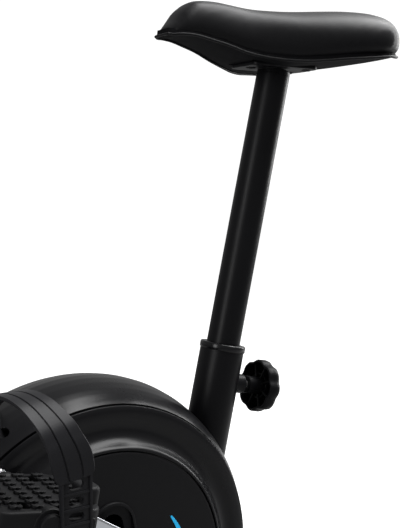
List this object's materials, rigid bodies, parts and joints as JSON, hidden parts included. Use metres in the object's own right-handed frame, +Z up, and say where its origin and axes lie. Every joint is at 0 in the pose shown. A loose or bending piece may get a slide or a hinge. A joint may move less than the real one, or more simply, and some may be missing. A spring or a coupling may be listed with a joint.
{
  "type": "exercise bike",
  "caption": "Upright exercise bike: round enclosed drive housing on a beam with two floor bars, pedals with straps, height-adjustable saddle, mast with handlebar and console.",
  "frame": {"origin": "centre of the footprint, on the floor plane under the end caps", "axes": "+Z up; front of the bike (console end) at -X, saddle at +X; rider's left side at -Y"},
  "size_m": [0.86, 0.509, 1.1285],
  "materials": {
    "black_paint": "satin black powder coat",
    "black_plastic": "fine matt black",
    "gloss_black": "smooth black",
    "shroud_plastic": "satin black, fine grain",
    "disc_plastic": "satin black",
    "blue_trim": "printed blue",
    "wheel_plastic": "hard black plastic",
    "zinc_steel": "bright zinc",
    "chrome": "polished",
    "iron": "painted cast iron",
    "foam": "closed cell foam",
    "vinyl": "smooth satin vinyl over foam",
    "lcd": "display window",
    "grey_rubber": "soft grey rubber",
    "belt_rubber": "ribbed belt",
    "pedal_plastic": "textured black",
    "strap_rubber": "smooth moulded rubber"
  },
  "bodies": {
    "frame": {"main_beam": "black_paint", "front_stabiliser": "black_paint", "rear_stabiliser": "black_paint", "front_bolts": "zinc_steel", "rear_bolts": "zinc_steel", "front_cap_left": "black_plastic", "front_cap_right": "black_plastic", "rear_cap_left": "black_plastic", "rear_cap_right": "black_plastic", "seat_tube": "black_paint", "seat_bush": "gloss_black", "bottom_bracket": "black_paint", "crank_bearings": "zinc_steel", "flywheel_bracket": "black_paint", "shroud_crown": "shroud_plastic", "left_cover": "shroud_plastic", "right_cover": "shroud_plastic", "left_disc": "disc_plastic", "right_disc": "disc_plastic", "left_accent": "blue_trim", "right_accent": "blue_trim", "front_stub": "black_paint", "mast": "black_paint", "clamp_cover": "black_plastic", "clamp_screws": "zinc_steel", "mast_boot": "shroud_plastic", "console_housing": "black_plastic", "console_screen": "lcd", "drive_belt": "belt_rubber"},
    "crank": {"crank_axle": "zinc_steel", "crank_pulley": "black_plastic", "left_crank": "chrome", "right_crank": "chrome", "left_spindle": "zinc_steel", "right_spindle": "zinc_steel"},
    "flywheel": {"flywheel": "iron", "flywheel_axle": "zinc_steel"},
    "left_pedal": {"left_pedal": "pedal_plastic", "left_strap": "strap_rubber"},
    "right_pedal": {"right_pedal": "pedal_plastic", "right_strap": "strap_rubber"},
    "seat": {"seat_post": "black_paint", "saddle_base": "black_plastic", "saddle_cushion": "vinyl", "saddle_clamp": "zinc_steel"},
    "pull_pin": {"seat_knob": "black_plastic", "knob_pin": "zinc_steel"},
    "left_wheel": {"transport_wheel_left": "wheel_plastic"},
    "right_wheel": {"transport_wheel_right": "wheel_plastic"},
    "handlebar": {"handlebar": "black_paint", "left_grip": "foam", "right_grip": "foam", "left_pulse_sensor": "chrome", "right_pulse_sensor": "chrome"},
    "tension_knob": {"tension_knob": "black_plastic"},
    "magnets": {"magnet_bracket": "zinc_steel"},
    "button_1": {"console_button_1": "grey_rubber"},
    "button_2": {"console_button_2": "grey_rubber"},
    "button_3": {"console_button_3": "grey_rubber"},
    "button_4": {"console_button_4": "grey_rubber"}
  },
  "joints": [
    {"name": "crank_spin", "type": "hinge", "parent": "frame", "child": "crank", "pos_m": [0.058, 0, 0.291], "axis": [0, 1, 0], "continuous": true},
    {"name": "flywheel_spin", "type": "hinge", "parent": "frame", "child": "flywheel", "pos_m": [-0.005, 0, 0.196], "axis": [0, 1, 0], "continuous": true},
    {"name": "left_pedal_spin", "type": "hinge", "parent": "crank", "child": "left_pedal", "pos_m": [-0.068, -0.15, 0.388], "axis": [0, 1, 0], "continuous": true},
    {"name": "right_pedal_spin", "type": "hinge", "parent": "crank", "child": "right_pedal", "pos_m": [0.184, 0.15, 0.194], "axis": [0, 1, 0], "continuous": true},
    {"name": "seat_height", "type": "slide", "parent": "frame", "child": "seat", "axis": [0.2215, 0, 0.9751], "range_m": [-0.1, 0.1]},
    {"name": "pin_pull", "type": "slide", "parent": "frame", "child": "pull_pin", "axis": [0.9751, 0, -0.2215], "range_m": [0, 0.008], "stiffness_N_per_m": 600, "springref_m": -0.004},
    {"name": "left_wheel_roll", "type": "hinge", "parent": "frame", "child": "left_wheel", "pos_m": [-0.408, -0.209, 0.028], "axis": [0, 1, 0], "continuous": true},
    {"name": "right_wheel_roll", "type": "hinge", "parent": "frame", "child": "right_wheel", "pos_m": [-0.408, 0.209, 0.028], "axis": [0, 1, 0], "continuous": true},
    {"name": "handlebar_tilt", "type": "hinge", "parent": "frame", "child": "handlebar", "pos_m": [-0.113, 0, 0.985], "axis": [0, 1, 0], "range_deg": [-15, 20]},
    {"name": "tension_turn", "type": "hinge", "parent": "frame", "child": "tension_knob", "pos_m": [-0.10131, 0, 0.80417], "axis": [0.9903, 0, 0.1392], "range_deg": [0, 300]},
    {"name": "magnet_move", "type": "hinge", "parent": "frame", "child": "magnets", "pos_m": [-0.05195, -0.038, 0.2843], "axis": [0, 1, 0], "range_deg": [0, 4]},
    {"name": "button_1_press", "type": "slide", "parent": "frame", "child": "button_1", "axis": [-0.6428, 0, -0.766], "range_m": [0, 0.0015], "stiffness_N_per_m": 400, "springref_m": -0.001},
    {"name": "button_2_press", "type": "slide", "parent": "frame", "child": "button_2", "axis": [-0.6428, 0, -0.766], "range_m": [0, 0.0015], "stiffness_N_per_m": 400, "springref_m": -0.001},
    {"name": "button_3_press", "type": "slide", "parent": "frame", "child": "button_3", "axis": [-0.6428, 0, -0.766], "range_m": [0, 0.0015], "stiffness_N_per_m": 400, "springref_m": -0.001},
    {"name": "button_4_press", "type": "slide", "parent": "frame", "child": "button_4", "axis": [-0.6428, 0, -0.766], "range_m": [0, 0.0015], "stiffness_N_per_m": 400, "springref_m": -0.001}
  ],
  "couplings": [
    {"joint": "flywheel_spin", "follows": "crank_spin", "ratio": 4.6667},
    {"joint": "magnet_move", "follows": "tension_turn", "ratio": 0.013333}
  ]
}
